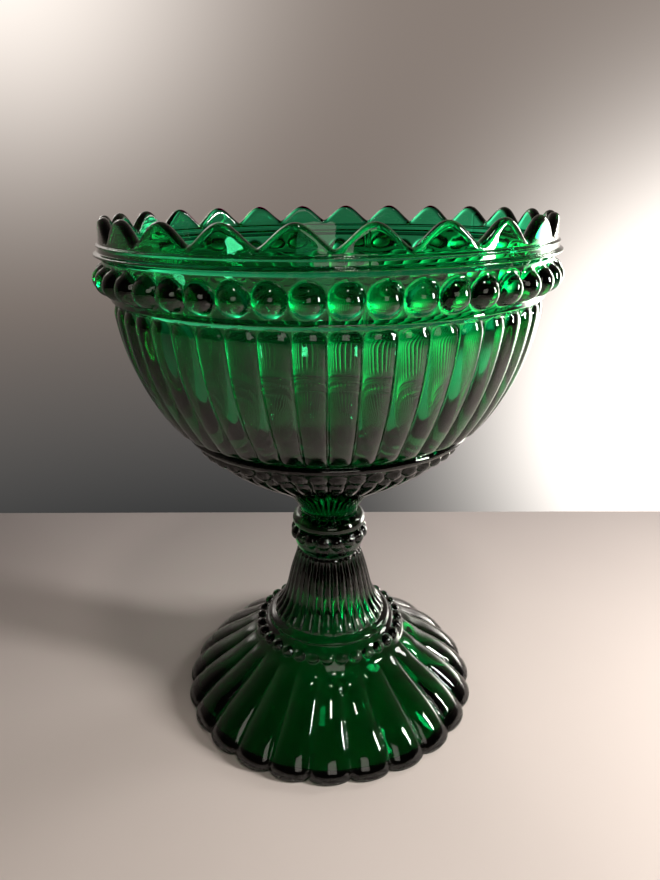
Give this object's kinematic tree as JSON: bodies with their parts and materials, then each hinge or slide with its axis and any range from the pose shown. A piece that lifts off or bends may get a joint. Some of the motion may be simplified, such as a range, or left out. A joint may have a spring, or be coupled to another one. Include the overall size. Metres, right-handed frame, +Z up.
{
  "type": "footed glass bowl",
  "caption": "Deep green pressed-glass bowl with a scalloped rim, a beaded band and ribbed sides, on a short reeded stem with a knop and a hollow lobed foot.",
  "frame": {"origin": "centre of the foot's underside, on the surface the bowl stands on", "axes": "+Z up along the bowl's axis of symmetry, towards the open mouth; -Y is the front"},
  "size_m": [0.126, 0.126, 0.155],
  "materials": {
    "bowl_glass": "pressed and fire-polished, deep green, glossy",
    "disc_glass": "hot-worked, deep green, glossy",
    "pedestal_glass": "pressed and fire-polished, deep green, glossy"
  },
  "bodies": {
    "root": {"bowl": "bowl_glass", "joining_disc": "disc_glass", "pedestal": "pedestal_glass"}
  },
  "joints": []
}
